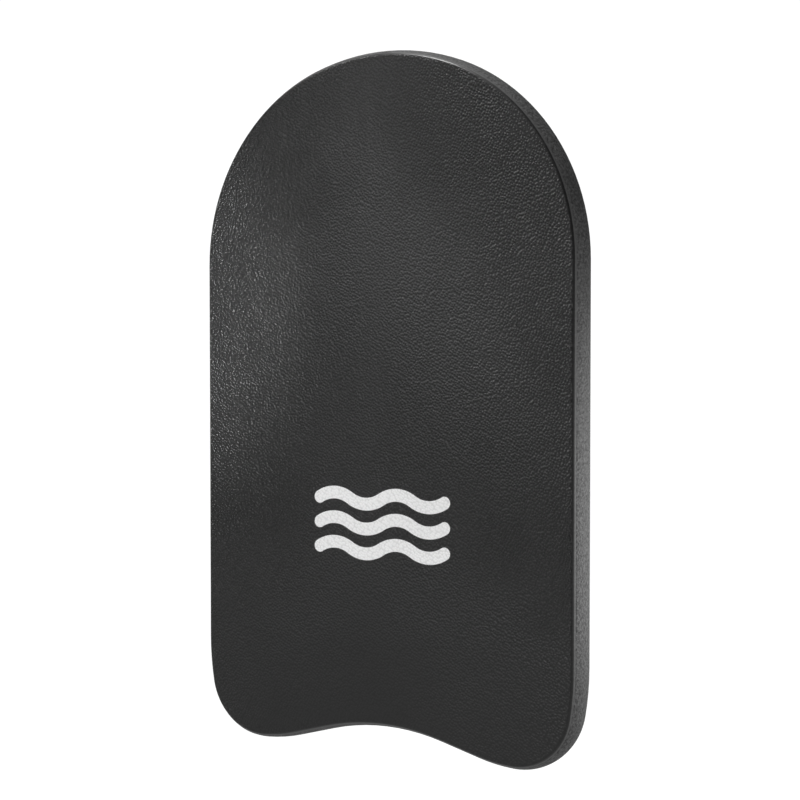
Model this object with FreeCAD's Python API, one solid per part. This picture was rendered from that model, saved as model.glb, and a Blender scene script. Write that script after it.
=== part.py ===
import FreeCAD
import Part
import math
import os

# Swimmer's kickboard: three plies of closed-cell EVA foam bonded face to face, then
# machined all round. It stands on the two lobes of its tail. X runs across it, Y through
# its thickness with the front face towards -Y, and Z up to the nose. The origin is
# midway between the lobes, level with their lowest points and in mid-thickness.

# Outline, seen from the front. A turn is how many degrees an arc bends.
board_width = 290.0
board_height = 465.0
shoulder_radius = 138.0      # from each straight side round towards the nose
shoulder_turn = 70.0         # then the nose's own, flatter arc takes over
hip_radius = 180.0           # the side begins to draw in above each tail lobe
hip_turn = 10.0
lobe_radius = 44.0           # the rounded corner that the board stands on
heel_radius = 120.0          # flattens out of the lobe towards the notch
heel_turn = 12.0
flank_slope = 15.0           # the straight flank up into the notch
notch_radius = 170.0         # the hollow between the lobes, which fits the swimmer's chest

# Plies
skin_thickness = 3.0         # embossed sheet, front and back
core_thickness = 19.0

# Edge
crown_radius = 22.0          # the wall bulges out between the two faces
edge_radius = 2.0            # and rolls over into each of them

board_thickness = core_thickness + 2 * skin_thickness
front_face = -board_thickness / 2
front_seam = front_face + skin_thickness
back_seam = front_seam + core_thickness
back_face = back_seam + skin_thickness

SEWING_TOLERANCE = 1e-6


def point_on(centre, radius, degrees):
    angle = math.radians(degrees)
    return centre[0] + radius * math.cos(angle), centre[1] + radius * math.sin(angle)


def mirrored(piece):
    if piece[0] == "line":
        (x, z), (end_x, end_z) = piece[1:]
        return "line", (-end_x, end_z), (-x, z)
    (x, z), radius, start, turn = piece[1:]
    return "arc", (-x, z), radius, 180 - start - turn, turn


def outline():
    """The closed outline as tangent lines and arcs in (x, z), anticlockwise from the
    notch: ("line", start, end) or ("arc", centre, radius, start angle, turn)."""
    side = board_width / 2
    flank_angle = -90 - flank_slope
    heel_angle = flank_angle + heel_turn

    # Where two arcs meet smoothly, both centres lie on one line through that point.
    # The tail corner is laid out at any height, then lifted to stand at z = 0.
    hip = side - hip_radius, 0
    lobe = point_on(hip, hip_radius - lobe_radius, -hip_turn)
    heel = point_on(lobe, lobe_radius - heel_radius, heel_angle)
    if heel_angle <= -90:
        lift = lobe_radius - lobe[1]
    else:
        lift = heel_radius - heel[1]
    hip, lobe, heel = [(x, z + lift) for x, z in (hip, lobe, heel)]

    slope = math.radians(flank_slope)
    heel_end = point_on(heel, heel_radius, flank_angle)
    flank_top_x = notch_radius * math.sin(slope)
    flank_top = flank_top_x, heel_end[1] + (heel_end[0] - flank_top_x) * math.tan(slope)
    notch = 0, flank_top[1] - notch_radius * math.cos(slope)

    turn = math.radians(shoulder_turn)
    nose_radius = shoulder_radius + (side - shoulder_radius) / math.cos(turn)
    nose = 0, board_height - nose_radius
    shoulder = point_on(nose, nose_radius - shoulder_radius, shoulder_turn)

    right = [
        ("line", flank_top, heel_end),
        ("arc", heel, heel_radius, flank_angle, heel_turn),
        ("arc", lobe, lobe_radius, heel_angle, -hip_turn - heel_angle),
        ("arc", hip, hip_radius, -hip_turn, hip_turn),
        ("line", (side, hip[1]), (side, shoulder[1])),
        ("arc", shoulder, shoulder_radius, 0, shoulder_turn),
    ]
    top = "arc", nose, nose_radius, shoulder_turn, 180 - 2 * shoulder_turn
    hollow = "arc", notch, notch_radius, 90 + flank_slope, -2 * flank_slope
    return right + [top] + [mirrored(piece) for piece in reversed(right)] + [hollow]


def edge_arcs():
    """Profile of the whole edge: front roll, crowned wall, back roll, each tangent to the
    next. Each arc is (out, y, radius, start, end), with out measured outwards from the
    outline and the angles in radians from there towards +Y."""
    roll_y = board_thickness / 2 - edge_radius
    reach = crown_radius - edge_radius
    meets_wall = math.asin(roll_y / reach)
    roll_out = reach * math.cos(meets_wall) - crown_radius
    return [
        (roll_out, -roll_y, edge_radius, -math.pi / 2, -meets_wall),
        (-crown_radius, 0, crown_radius, -meets_wall, meets_wall),
        (roll_out, roll_y, edge_radius, meets_wall, math.pi / 2),
    ]


def edge_section(low, high):
    """The stretch of the edge's profile between two depths, as arcs that each hold three
    points (out, y)."""
    section = []
    for out, y, radius, start, end in edge_arcs():
        first, last = [max(start, min(end, math.asin(max(-1, min(1, (depth - y) / radius)))))
                       for depth in (low, high)]
        if last > first:
            angles = first, (first + last) / 2, last
            section.append([(out + radius * math.cos(a), y + radius * math.sin(a)) for a in angles])
    return section


def wall_along(piece, section):
    """The faces that the section leaves as it follows one line or arc of the outline."""
    if piece[0] == "line":
        (x, z), (end_x, end_z) = piece[1:]
        run = FreeCAD.Vector(end_x - x, 0, end_z - z)
        outward = FreeCAD.Vector(run.z, 0, -run.x).normalize()
    else:
        centre, radius, start, turn = piece[1:]
        x, z = point_on(centre, radius, start)
        outward = FreeCAD.Vector(x - centre[0], 0, z - centre[1]).normalize()
        if turn < 0:
            outward = -outward

    faces = []
    for points in section:
        placed = [FreeCAD.Vector(x, y, z) + outward * out for out, y in points]
        edge = Part.Arc(*placed).toShape()
        if piece[0] == "line":
            faces.append(edge.extrude(run))
        else:
            pivot = FreeCAD.Vector(centre[0], 0, centre[1])
            faces.append(edge.revolve(pivot, FreeCAD.Vector(0, -1, 0), turn))
    return faces


def ply(low, high):
    """One sheet of foam between two depths, with its share of the machined edge."""
    section = edge_section(low, high)
    wall = Part.makeCompound([face for piece in outline() for face in wall_along(piece, section)])
    faces = list(wall.Faces)
    for depth in (low, high):
        rim = [e for e in wall.Edges
               if all(abs(v.Y - depth) < SEWING_TOLERANCE for v in e.Vertexes)]
        faces.append(Part.Face(Part.Wire(Part.__sortEdges__(rim))))
    shell = Part.makeCompound(faces)
    shell.sewShape()
    solid = Part.Solid(shell.Shells[0])
    solid.fix(SEWING_TOLERANCE, SEWING_TOLERANCE, SEWING_TOLERANCE)
    return solid


plies = {
    "front_skin": ply(front_face, front_seam),
    "core": ply(front_seam, back_seam),
    "back_skin": ply(back_seam, back_face),
}

os.makedirs("parts", exist_ok=True)
for name, shape in plies.items():
    shape.exportStep(f"parts/{name}.step")
    print(name, "valid" if shape.isValid() else "NOT VALID", round(shape.Volume), "mm3")
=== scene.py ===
import math
import bmesh
import bpy
from mathutils import Matrix, Vector, noise


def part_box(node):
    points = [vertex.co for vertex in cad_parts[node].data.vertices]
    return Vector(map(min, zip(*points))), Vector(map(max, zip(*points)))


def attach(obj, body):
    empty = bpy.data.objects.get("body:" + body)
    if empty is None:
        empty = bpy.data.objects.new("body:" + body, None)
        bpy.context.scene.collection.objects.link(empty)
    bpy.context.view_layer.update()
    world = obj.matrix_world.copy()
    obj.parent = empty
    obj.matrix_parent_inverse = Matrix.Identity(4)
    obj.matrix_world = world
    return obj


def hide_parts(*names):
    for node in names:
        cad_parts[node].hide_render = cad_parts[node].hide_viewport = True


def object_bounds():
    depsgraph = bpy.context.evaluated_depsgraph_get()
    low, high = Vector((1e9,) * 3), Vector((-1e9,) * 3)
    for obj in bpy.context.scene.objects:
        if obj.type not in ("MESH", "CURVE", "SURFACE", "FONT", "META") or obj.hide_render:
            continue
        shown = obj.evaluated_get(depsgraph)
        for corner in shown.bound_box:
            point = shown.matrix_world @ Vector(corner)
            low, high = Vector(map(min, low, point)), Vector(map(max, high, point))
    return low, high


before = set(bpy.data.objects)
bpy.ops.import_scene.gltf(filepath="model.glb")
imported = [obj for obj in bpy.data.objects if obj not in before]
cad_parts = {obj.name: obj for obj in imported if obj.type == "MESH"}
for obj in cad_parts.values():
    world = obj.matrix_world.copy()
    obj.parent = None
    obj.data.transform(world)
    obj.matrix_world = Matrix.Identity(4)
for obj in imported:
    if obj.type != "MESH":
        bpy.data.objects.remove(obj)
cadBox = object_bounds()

# A swimmer's kickboard: two embossed skins of EVA foam on a thicker foam core, machined all
# round, with three waves printed on the front. Everything is in metres and degrees. X runs
# across the board, Y through it and Z up to the nose.

low, high = cadBox
samePlace = 1e-6                         # points nearer than this are one point
seamReach = 1e-5                         # halves and strokes join up within this

boardShape = {
    "side": high.x,
    "nose": high.z,
    "tail": low.z,
    "front": low.y,
    "frontSeam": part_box("front_skin")[1].y,
    "backSeam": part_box("back_skin")[0].y,
    "back": high.y,
    "shoulder": (0.138, 70),             # radius and turn, as for the next four bends
    "hip": (0.180, 10),
    "lobe": (0.044, 83),
    "heel": (0.120, 12),
    "hollow": (0.170, -15),              # bends the other way
    "crown": 0.022,                      # radius of the bulging wall
    "roll": 0.002,                       # radius where the wall turns into each face
}


def hexColour(text):
    channels = [int(text[i:i + 2], 16) / 255 for i in (1, 3, 5)]
    return (*[c / 12.92 if c <= 0.04045 else ((c + 0.055) / 1.055) ** 2.4 for c in channels], 1)


def addNode(nodes, kind, inputs=None, **settings):
    # An input goes by its name, or by its number where a node has several of one name.
    node = nodes.new(kind)
    for name, value in settings.items():
        setattr(node, name, value)
    for name, value in (inputs or {}).items():
        if isinstance(value, bpy.types.NodeSocket):
            nodes.id_data.links.new(value, node.inputs[name])
        else:
            node.inputs[name].default_value = value
    return node


def addMath(nodes, operation, *values):
    return addNode(nodes, "ShaderNodeMath", dict(enumerate(values)), operation=operation).outputs[0]


def addRamp(nodes, value, start, end, first=0.0, last=1.0, **settings):
    # Goes from first to last while the value goes from start to end.
    return addNode(nodes, "ShaderNodeMapRange", {
        "Value": value, "From Min": start, "From Max": end, "To Min": first, "To Max": last},
        **settings).outputs[0]


def mixColours(nodes, share, first, second):
    return addNode(nodes, "ShaderNodeMix", {0: share, 6: hexColour(first), 7: hexColour(second)},
                   data_type="RGBA").outputs[2]


def newMaterial(name):
    material = bpy.data.materials.new(name)
    material.use_nodes = True
    nodes = material.node_tree.nodes
    return material, nodes, nodes["Principled BSDF"]


def giveFinish(nodes, surface, colour, height, strength, finish):
    bump = addNode(nodes, "ShaderNodeBump", {
        "Height": height, "Strength": strength, "Distance": finish["depth"]}).outputs[0]
    nodes.id_data.links.new(colour, surface.inputs["Base Color"])
    nodes.id_data.links.new(bump, surface.inputs["Normal"])
    surface.inputs["Roughness"].default_value = finish["roughness"]
    surface.inputs["Specular IOR Level"].default_value = finish["specular"]


grainSettings = {
    "pebble": 0.0019,                    # one pebble of the leather grain
    "scatter": 0.75,                     # 0 is a square grid, 1 has no order at all
    "softness": 0.35,                    # how far pebbles melt into each other
    "foot": 0.75,                        # how far out a pebble's slope ends, in pebbles
    "warp": 0.0012,                      # pushes pebbles out of round
    "warpSize": 0.006,
    "lay": 28,                           # degrees that the rows of the roller are turned
    "pore": 0.00035,
    "poreShare": 0.02,                   # height of the pores, where a pebble's is 1
    "patch": 0.060,                      # stretches where the roller pressed harder
    "patchFrom": 0.35,                   # the noise here gives the least press
    "patchTo": 0.65,                     # and here all of it
    "leastPress": 0.75,
    "fadeFrom": 0.148,                   # the grain is pressed less deeply near the tail
    "fadeTo": 0.070,
    "fadedPress": 0.46,
    "slackLine": -0.008,                 # the line up the board that was pressed least
    "slackPress": 0.62,
    "edgeReach": 0.150,                  # this far from that line it was pressed hardest
    "edgePress": 1.28,
    "rollFrom": 0.80,                    # how squarely a face looks forward, 1 is fully
    "rollTo": 0.995,
    "rollPress": 0.05,
}


def leatherHeight(nodes):
    # Height of the grain, about 0 to 1, and how hard it was pressed. It is laid on flat from
    # the front, as the roller lays it.
    grain = grainSettings
    coordinates = addNode(nodes, "ShaderNodeTexCoord").outputs
    place = coordinates["Object"]
    laid = addNode(nodes, "ShaderNodeMapping", {
        "Vector": place, "Rotation": (math.radians(-90), 0, math.radians(grain["lay"]))}).outputs[0]
    push = addNode(nodes, "ShaderNodeTexNoise", {
        "Vector": laid, "Scale": 1 / grain["warpSize"], "Detail": 1.0}).outputs["Color"]
    centred = addNode(nodes, "ShaderNodeVectorMath", {
        0: push, 1: (0.5, 0.5, 0.5)}, operation="SUBTRACT").outputs[0]
    pushed = addNode(nodes, "ShaderNodeVectorMath", {
        0: centred, 1: (grain["warp"],) * 3, 2: laid}, operation="MULTIPLY_ADD").outputs[0]
    middle = addNode(nodes, "ShaderNodeTexVoronoi", {
        "Vector": pushed, "Scale": 1 / grain["pebble"], "Randomness": grain["scatter"],
        "Smoothness": grain["softness"]},
        voronoi_dimensions="2D", feature="SMOOTH_F1").outputs["Distance"]
    dome = addRamp(nodes, middle, 0.0, grain["foot"], 1.0, 0.0, interpolation_type="SMOOTHSTEP")
    pores = addNode(nodes, "ShaderNodeTexNoise", {
        "Vector": laid, "Scale": 1 / grain["pore"], "Detail": 2.0}).outputs["Fac"]
    height = addMath(nodes, "MULTIPLY_ADD", pores, grain["poreShare"], dome)

    patches = addNode(nodes, "ShaderNodeTexNoise", {
        "Vector": laid, "Scale": 1 / grain["patch"], "Detail": 2.0}).outputs["Fac"]
    uneven = addRamp(nodes, patches, grain["patchFrom"], grain["patchTo"], grain["leastPress"])
    where = addNode(nodes, "ShaderNodeSeparateXYZ", {"Vector": place}).outputs
    fade = addRamp(nodes, where["Z"], grain["fadeTo"], grain["fadeFrom"], grain["fadedPress"])
    across = addMath(nodes, "SUBTRACT", where["X"], grain["slackLine"])
    away = addMath(nodes, "ABSOLUTE", across)
    bite = addRamp(nodes, away, 0.0, grain["edgeReach"], grain["slackPress"], grain["edgePress"])

    # Where the sheet's edge is machined round, most of the grain is cut away.
    facing = addNode(nodes, "ShaderNodeSeparateXYZ", {"Vector": coordinates["Normal"]}).outputs
    square = addMath(nodes, "ABSOLUTE", facing["Y"])
    spared = addRamp(nodes, square, grain["rollFrom"], grain["rollTo"], grain["rollPress"])
    press = uneven
    for share in (fade, bite, spared):
        press = addMath(nodes, "MULTIPLY", press, share)
    return height, press


def makeEmbossedEva():
    # Closed-cell EVA sheet, embossed with a leather grain by a heated roller. The eye gets a
    # dull black skin of small round pebbles, each with a soft glint on its lit side, and painted
    # shade makes the creases between them darker.
    skin = {
        "pebbleColour": "#191919",
        # painted shade: the colour that the creases between the pebbles are darkened to
        "creaseColour": "#121212",
        "depth": 0.00060,
        "roughness": 0.37,
        "specular": 0.35,                # fine pores take away part of the shine
    }
    material, nodes, surface = newMaterial("embossedEvaFoam")
    height, press = leatherHeight(nodes)
    # Painted shade: the colour darkens by the grain's height, down into the creases.
    colour = mixColours(nodes, height, skin["creaseColour"], skin["pebbleColour"])
    giveFinish(nodes, surface, colour, height, press, skin)
    return material


def makeCutEva(name, foam):
    # The same foam cut through, so its opened cells show. The eye gets a greyer, matt wall
    # with soft mottling, fainter on the denser skins than on the core.
    material, nodes, surface = newMaterial(name)
    place = addNode(nodes, "ShaderNodeTexCoord").outputs["Object"]
    clouds = addNode(nodes, "ShaderNodeTexNoise", {
        "Vector": place, "Scale": 1 / foam["mottle"], "Detail": 1.5}).outputs["Fac"]
    mottling = addRamp(nodes, clouds, foam["mottleFrom"], foam["mottleTo"])
    cells = addNode(nodes, "ShaderNodeTexVoronoi", {
        "Vector": place, "Scale": 1 / foam["cell"]}).outputs["Distance"]
    height = addMath(nodes, "MULTIPLY_ADD", cells, foam["cellShare"], mottling)
    colour = mixColours(nodes, mottling, foam["darkColour"], foam["lightColour"])
    giveFinish(nodes, surface, colour, height, 1.0, foam)
    return material


coreFoam = {
    "lightColour": "#585858",
    "darkColour": "#323232",
    "mottle": 0.0017,
    "mottleFrom": 0.3,                   # the noise here gives the dark colour
    "mottleTo": 0.7,                     # and here the light one
    "cell": 0.0008,
    "cellShare": 0.5,                    # height of the cells, where the mottling's is 1
    "depth": 0.00030,
    "roughness": 0.70,
    "specular": 0.30,
}
skinFoam = {
    "lightColour": "#545454",
    "darkColour": "#4a4a4a",
    "mottle": 0.0020,
    "mottleFrom": 0.3,
    "mottleTo": 0.7,
    "cell": 0.0004,
    "cellShare": 0.5,
    "depth": 0.00006,
    "roughness": 0.65,
    "specular": 0.30,
}


def makeInk():
    # Screen-printing ink, pressed into the grain by a squeegee. The eye gets a matt white
    # that keeps the pebbles under it, a little grey where a crease took less ink.
    ink = {
        "colour": "#f6f6f6",
        "creaseColour": "#e6e6e6",
        "creaseFrom": 0.05,              # heights of the grain between which the ink thins
        "creaseTo": 0.45,
        "depth": 0.00048,
        "roughness": 0.60,
        "specular": 0.40,
    }
    material, nodes, surface = newMaterial("screenPrintingInk")
    height, press = leatherHeight(nodes)
    cover = addRamp(nodes, height, ink["creaseFrom"], ink["creaseTo"])
    colour = mixColours(nodes, cover, ink["creaseColour"], ink["colour"])
    giveFinish(nodes, surface, colour, height, press, ink)
    return material


embossedEva = makeEmbossedEva()
cutCore = makeCutEva("cutEvaCore", coreFoam)
cutSkin = makeCutEva("cutEvaSkin", skinFoam)
whiteInk = makeInk()
print("materials: embossed foam, two cut foams and ink")


def vertsOf(parts):
    return [part for part in parts if isinstance(part, bmesh.types.BMVert)]


def edgesOf(parts):
    return [part for part in parts if isinstance(part, bmesh.types.BMEdge)]


def bendReach(radius, heading, turn):
    # How far across and up a bend goes. A heading is measured up from +X, and a turn above
    # 0 is clockwise, both as seen from the front.
    start, end = math.radians(heading), math.radians(heading - turn)
    signed = math.copysign(radius, turn)
    return Vector((signed * (math.sin(start) - math.sin(end)), 0,
                   signed * (math.cos(end) - math.cos(start))))


def follow(bm, line, at, heading, moves, step):
    # Sweeps a line of vertices and edges along moves that each carry on from the last:
    # ("bend", radius, turn) or ("straight", length).
    at = Vector(at)
    for kind, size, *turn in moves:
        slope = math.radians(heading)
        if kind == "straight":
            along = Vector((math.cos(slope), 0, math.sin(slope))) * size
            made = bmesh.ops.extrude_edge_only(bm, edges=edgesOf(line))["geom"]
            verts = vertsOf(made)
            bmesh.ops.translate(bm, verts=verts, vec=along)
            line = verts + [edge for edge in edgesOf(made)
                            if all(vert in verts for vert in edge.verts)]
            at += along
        else:
            turned = turn[0]
            towards = Vector((math.sin(slope), 0, -math.cos(slope))) * math.copysign(size, turned)
            line = bmesh.ops.spin(
                bm, geom=line, cent=at + towards, axis=(0, 1, 0), angle=math.radians(turned),
                steps=max(1, math.ceil(abs(turned) / step)))["geom_last"]
            at += bendReach(size, heading, turned)
            heading -= turned
    return line


def outlineMoves():
    # The right half of the outline, from the top of the nose to the middle of the hollow.
    # The nose and the two straights take up what the other bends leave.
    shape = boardShape
    shoulderRadius, shoulderTurn = shape["shoulder"]
    hipRadius, hipTurn = shape["hip"]
    lobeRadius = shape["lobe"][0]
    noseTurn = 90 - shoulderTurn
    sine = math.sin(math.radians(noseTurn))
    noseRadius = (shape["side"] - shoulderRadius * (1 - sine)) / sine

    # The straight side is what is left of the height from the nose down to where the lobe
    # is level and the board stands on it.
    height = shape["nose"] - shape["tail"]
    for bend in ((noseRadius, 0, noseTurn), (shoulderRadius, -noseTurn, shoulderTurn),
                 (hipRadius, -90, hipTurn), (lobeRadius, -90 - hipTurn, 90 - hipTurn)):
        height += bendReach(*bend).z

    # The straight flank goes up from the heel to the hollow.
    under = [shape["hip"], shape["lobe"], shape["heel"], shape["hollow"]]
    across, heading = shape["side"], -90
    for size, turned in under:
        across += bendReach(size, heading, turned).x
        heading -= turned
    flank = across / math.cos(math.radians(shape["hollow"][1]))
    bends = [("bend", *bend) for bend in [(noseRadius, noseTurn), shape["shoulder"]] + under]
    return bends[:2] + [("straight", height)] + bends[2:5] + [("straight", flank)] + bends[5:]


plySettings = {
    "bendStep": 3,                       # degrees
    "rollRow": 0.0003,                   # a row of faces across the roll
    "wallRow": 0.0008,                   # and across the wall
    "wrap": 0.0007,                      # how far the embossing runs on past the roll
    "grid": 0.006,                       # of the flat faces
    "holdingRing": 0.0008,
    "seamRound": 0.0002,                 # where the plies draw in at the bond
    "sharp": 40,                         # degrees from which a corner is left sharp
    "swell": 0.00014,                    # the sheets are never quite flat
    "swellSize": 0.085,
    "swellSlice": 0.3,                   # where the noise is cut, so that no two agree
    "ripple": 0.00005,
    "rippleSize": 0.028,
    "rippleSlice": 7.1,
}


def rollTurn():
    # Where the roll gives way to the wall, in radians from straight out.
    shape = boardShape
    return math.asin((shape["back"] - shape["roll"]) / (shape["crown"] - shape["roll"]))


def edgeSection(start, end):
    # Points across one ply's machined edge, from front to back: how deep, and how far out
    # from the widest line of the wall.
    shape = boardShape
    half, crown, roll = shape["back"], shape["crown"], shape["roll"]
    meets = rollTurn()
    rollOut = (crown - roll) * math.cos(meets) - crown
    arcs = [(roll - half, rollOut, roll, -math.pi / 2, -meets, plySettings["rollRow"]),
            (0, -crown, crown, -meets, meets, plySettings["wallRow"]),
            (half - roll, rollOut, roll, meets, math.pi / 2, plySettings["rollRow"])]
    points = []
    for depth, out, radius, first, last, row in arcs:
        first, last = [max(first, min(last, math.asin(max(-1, min(1, (limit - depth) / radius)))))
                       for limit in (start, end)]
        if last - first > samePlace:
            count = math.ceil((last - first) * radius / row)
            angles = [first + (last - first) * i / count for i in range(count + 1)]
            points += [(depth + radius * math.sin(a), out + radius * math.cos(a))
                       for a in angles[bool(points):]]
    return points


def unevenness(x, z):
    # Never below 0, so the faces stay inside the machined size.
    sheet = plySettings
    swell = noise.noise(Vector((x / sheet["swellSize"], sheet["swellSlice"],
                                z / sheet["swellSize"])))
    ripple = noise.noise(Vector((x / sheet["rippleSize"], sheet["rippleSlice"],
                                 z / sheet["rippleSize"])))
    return sheet["swell"] * (1 + swell) + sheet["ripple"] * (1 + ripple)


def addPiece(name, bm, materials):
    mesh = bpy.data.meshes.new(name)
    bm.to_mesh(mesh)
    bm.free()
    piece = bpy.data.objects.new(name, mesh)
    bpy.context.scene.collection.objects.link(piece)
    for material in materials:
        mesh.materials.append(material)
    print(f"{name}: {len(mesh.polygons)} faces")
    return piece


def makePly(name, node, start, end, materials):
    shape, sheet = boardShape, plySettings
    bm = bmesh.new()
    line = [bm.verts.new((0, depth, shape["nose"] + out)) for depth, out in edgeSection(start, end)]
    line += [bm.edges.new(pair) for pair in zip(line, line[1:])]
    follow(bm, line, (0, 0, shape["nose"]), 0, outlineMoves(), sheet["bendStep"])
    bmesh.ops.remove_doubles(bm, verts=bm.verts, dist=samePlace)
    bmesh.ops.mirror(bm, geom=bm.verts[:] + bm.edges[:] + bm.faces[:], axis="X",
                     merge_dist=seamReach)

    # The flat faces: an outer one keeps a ring of faces that holds the roll's shading, and
    # one at the bond draws in.
    for depth in (start, end):
        rim = [edge for edge in bm.edges if edge.is_boundary
               and all(abs(vert.co.y - depth) < samePlace for vert in edge.verts)]
        cap = bmesh.ops.contextual_create(bm, geom=rim)["faces"]
        if depth in (shape["front"], shape["back"]):
            bmesh.ops.inset_region(bm, faces=cap, thickness=sheet["holdingRing"])
        else:
            bmesh.ops.bevel(bm, geom=rim, offset=sheet["seamRound"], affect="EDGES", segments=2,
                            profile=0.5, material=-1)
    for normal, reach in (((1, 0, 0), shape["side"]), ((0, 0, 1), shape["nose"])):
        for i in range(-int(reach / sheet["grid"]), int(reach / sheet["grid"]) + 1):
            bmesh.ops.bisect_plane(bm, geom=bm.verts[:] + bm.edges[:] + bm.faces[:],
                                   plane_co=Vector(normal) * sheet["grid"] * i, plane_no=normal)
    bmesh.ops.recalc_face_normals(bm, faces=bm.faces)

    # A skin has its wall cut through, and its outer face a little uneven.
    if len(materials) > 1:
        rollEnd = shape["back"] - shape["roll"] + shape["roll"] * math.sin(rollTurn())
        for face in bm.faces:
            face.material_index = int(abs(face.calc_center_median().y) < rollEnd - sheet["wrap"])
        bonded = start if end == shape["back"] else end
        for vert in bm.verts:
            share = (vert.co.y - bonded) / (end - start)
            vert.co.y -= share * unevenness(vert.co.x, vert.co.z)

    piece = addPiece(name, bm, materials)
    piece.data.polygons.foreach_set("use_smooth", [True] * len(piece.data.polygons))
    piece.data.set_sharp_from_angle(angle=math.radians(sheet["sharp"]))
    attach(piece, "root")
    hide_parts(node)


makePly("frontSheet", "front_skin", boardShape["front"], boardShape["frontSeam"],
        [embossedEva, cutSkin])
makePly("coreSlab", "core", boardShape["frontSeam"], boardShape["backSeam"],
        [cutCore])
makePly("backSheet", "back_skin", boardShape["backSeam"], boardShape["back"],
        [embossedEva, cutSkin])

waveMark = {
    "rows": 3,
    "spacing": 0.0165,
    "middle": 0.153,                     # above the tail
    "width": 0.106,
    "stroke": 0.0085,
    "bends": 4,
    "slope": 32,                         # degrees, where a wave is steepest
    "bendStep": 4,
    "endSteps": 16,
    "film": 0.00006,
}


def makeWaves():
    # Each wave is a run of arcs that bend by turns over and under, between two round ends.
    mark = waveMark
    bm = bmesh.new()
    slope = math.radians(mark["slope"])
    reach = (mark["width"] - mark["stroke"]) / 2
    radius = reach / (mark["bends"] * math.sin(slope))
    moves = [("bend", radius, 2 * mark["slope"] * (-1) ** i) for i in range(mark["bends"])]
    for row in range(mark["rows"]):
        rise = mark["spacing"] * (row - (mark["rows"] - 1) / 2)
        start = Vector((-reach, 0, mark["middle"] + rise))
        finish = start + Vector((2 * reach, 0, 0))
        across = Vector((-math.sin(slope), 0, math.cos(slope))) * mark["stroke"] / 2
        line = [bm.verts.new(start + across * side) for side in (-1, 0, 1)]
        edges = [bm.edges.new(pair) for pair in zip(line, line[1:])]
        bmesh.ops.spin(bm, geom=[line[1], line[2], edges[1]], cent=start, axis=(0, 1, 0),
                       angle=-math.pi, steps=mark["endSteps"])
        last = follow(bm, line + edges, start, mark["slope"], moves, mark["bendStep"])
        centre = min(vertsOf(last), key=lambda vert: (vert.co - finish).length)
        top = max(vertsOf(last), key=lambda vert: vert.co.z)
        edge = next(edge for edge in edgesOf(last) if set(edge.verts) == {centre, top})
        bmesh.ops.spin(bm, geom=[centre, top, edge], cent=finish, axis=(0, 1, 0),
                       angle=math.pi, steps=mark["endSteps"])
    bmesh.ops.remove_doubles(bm, verts=bm.verts, dist=seamReach)
    bmesh.ops.recalc_face_normals(bm, faces=bm.faces)

    # The film of ink lies on the sheet and follows its unevenness.
    for vert in bm.verts:
        vert.co.y = boardShape["front"] + unevenness(vert.co.x, vert.co.z)
    raised = bmesh.ops.extrude_face_region(bm, geom=bm.faces[:])["geom"]
    bmesh.ops.translate(bm, verts=vertsOf(raised), vec=(0, -mark["film"], 0))
    bmesh.ops.recalc_face_normals(bm, faces=bm.faces)
    piece = addPiece("waveMark", bm, [whiteInk])
    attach(piece, "root")


makeWaves()


def glowFor(nodes, seen, shed):
    # Brightness as the camera sees it, and the dimmer light that is shed on the board.
    watched = addNode(nodes, "ShaderNodeLightPath").outputs["Is Camera Ray"]
    return addRamp(nodes, watched, 0.0, 1.0, shed, seen)


def makeFloor():
    # A pale painted floor, bright enough to run into the room without a line.
    floor = {"reach": 6.0, "sides": 64, "colour": "#808080", "roughness": 0.9, "seen": 1.0,
             "shed": 0.60}
    material, nodes, surface = newMaterial("paintedFloor")
    surface.inputs["Base Color"].default_value = hexColour(floor["colour"])
    surface.inputs["Roughness"].default_value = floor["roughness"]
    surface.inputs["Emission Color"].default_value = hexColour("#ffffff")
    nodes.id_data.links.new(glowFor(nodes, floor["seen"], floor["shed"]),
                            surface.inputs["Emission Strength"])
    bm = bmesh.new()
    bmesh.ops.create_circle(bm, segments=floor["sides"], radius=floor["reach"], cap_ends=True)
    bmesh.ops.translate(bm, verts=bm.verts, vec=(0, 0, low.z))
    addPiece("studioFloor", bm, [material])


makeFloor()

cameraSettings = {
    "turn": 32.69,                       # round to the board's right
    "rise": 2.296,
    "distance": 1.3544,
    "lens": 92.66,
    "aimRight": 0.01263,
    "aimUp": 0.00276,
}


def placeCamera():
    settings = cameraSettings
    turn, rise = math.radians(settings["turn"]), math.radians(settings["rise"])
    back = Vector((math.sin(turn) * math.cos(rise), -math.cos(turn) * math.cos(rise),
                   math.sin(rise)))
    pivot = Vector((0, low.y, (low.z + high.z) / 2))
    aim = pivot + Vector((math.cos(turn), math.sin(turn), 0)) * settings["aimRight"]
    aim.z += settings["aimUp"]
    data = bpy.data.cameras.new("camera")
    data.lens = settings["lens"]
    camera = bpy.data.objects.new("camera", data)
    bpy.context.scene.collection.objects.link(camera)
    camera.location = pivot + back * settings["distance"]
    camera.rotation_euler = (aim - camera.location).to_track_quat("-Z", "Y").to_euler()
    bpy.context.scene.camera = camera


placeCamera()

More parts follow.
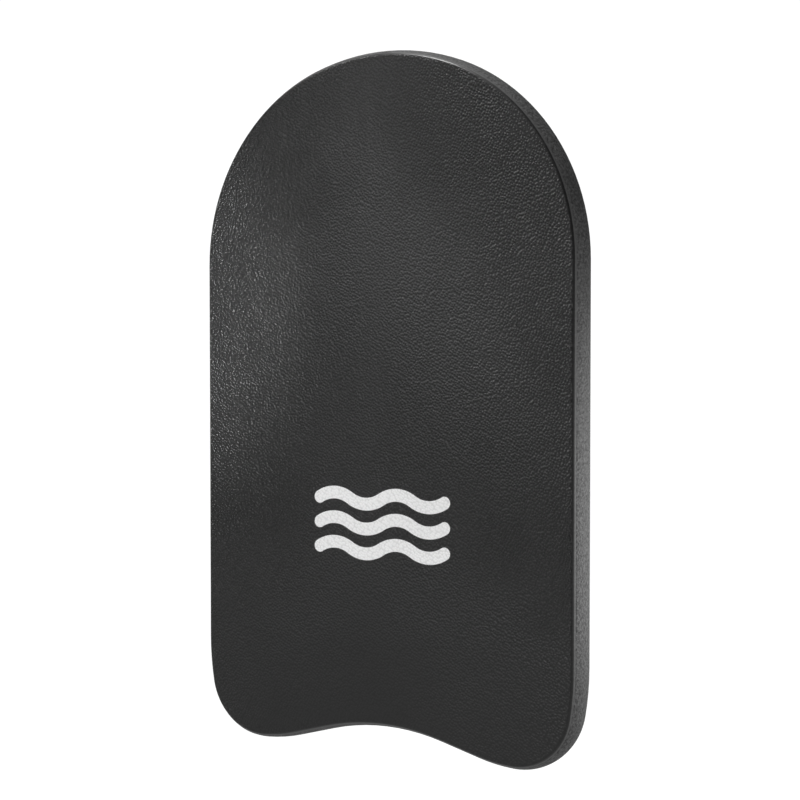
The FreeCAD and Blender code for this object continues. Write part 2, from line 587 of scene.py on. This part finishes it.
# The front box and the fill light the whole board. The strip, twisted by some degrees about
# its own aim, lights the rounded corner beside the nose. The pools brighten the left of the
# face, the rakes bring out its grain, and the last two spots light the wall.
softboxes = {
    "front": {"from": (-0.107, -1.428, 0.621), "to": (0, 0, 0.30), "size": (0.358, 0.90),
              "power": 6.9},
    "fill": {"from": (-0.745, -0.902, 0.333), "to": (0, 0, 0.30), "size": (0.134, 0.06),
             "power": 1.23},
    "strip": {"from": (0.24, -0.19, 0.785), "to": (0.10, 0, 0.40), "size": (0.05, 0.60),
              "power": 0.32, "twist": 32},
}
spots = {
    "leftPool": {"from": (-0.039, -0.464, 0.305), "to": (-0.235, -0.0125, 0.293), "cone": 47,
                 "radius": 0.02, "power": 15.5},
    "lowPool": {"from": (0.075, -0.491, 0.102), "to": (-0.213, -0.0125, 0.330), "cone": 30.9,
                "radius": 0.02, "power": 9.5},
    "topRake": {"from": (-0.500, -0.128, 0.905), "to": (0.225, -0.0125, 0.519), "cone": 48.2,
                "radius": 0.02, "power": 10},
    "crossRake": {"from": (-0.300, -0.350, 0.600), "to": (-0.050, -0.0125, 0.240), "cone": 60,
                  "radius": 0.02, "power": 2.2},
    "rightRake": {"from": (-0.900, -0.400, 0.750), "to": (0.260, -0.0125, 0.210), "cone": 12.5,
                  "radius": 0.02, "power": 15},
    "nose": {"from": (-0.12, 0.02, 1.04), "to": (0.05, 0, 0.465), "cone": 44, "radius": 0.05,
             "power": 14.5},
    "side": {"from": (0.49, 0.21, 0.147), "to": (0.145, 0, 0.163), "cone": 50, "radius": 0.05,
             "power": 10.5},
}


def addLight(name, kind, settings):
    data = bpy.data.lights.new(name, kind)
    data.energy = settings["power"]
    if kind == "AREA":
        data.shape = "RECTANGLE"
        data.size, data.size_y = settings["size"]
    else:
        data.spot_size = math.radians(settings["cone"])
        data.spot_blend = 1.0
        data.shadow_soft_size = settings["radius"]
    light = bpy.data.objects.new(name, data)
    bpy.context.scene.collection.objects.link(light)
    light.location = settings["from"]
    facing = (Vector(settings["to"]) - light.location).to_track_quat("-Z", "Y")
    twist = Matrix.Rotation(math.radians(settings.get("twist", 0)), 4, "Z")
    light.rotation_euler = (facing.to_matrix().to_4x4() @ twist).to_euler()


for kind, lights in (("AREA", softboxes), ("SPOT", spots)):
    for name, settings in lights.items():
        addLight(name, kind, settings)


def makeWorld():
    # A plain white room.
    room = {"seen": 1.05, "shed": 0.12}
    world = bpy.data.worlds.new("studio")
    world.use_nodes = True
    nodes = world.node_tree.nodes
    nodes["Background"].inputs["Color"].default_value = hexColour("#ffffff")
    world.node_tree.links.new(glowFor(nodes, room["seen"], room["shed"]),
                              nodes["Background"].inputs["Strength"])
    bpy.context.scene.world = world


makeWorld()
bpy.context.scene.view_settings.view_transform = "Standard"
print("stage: floor, camera and lights")
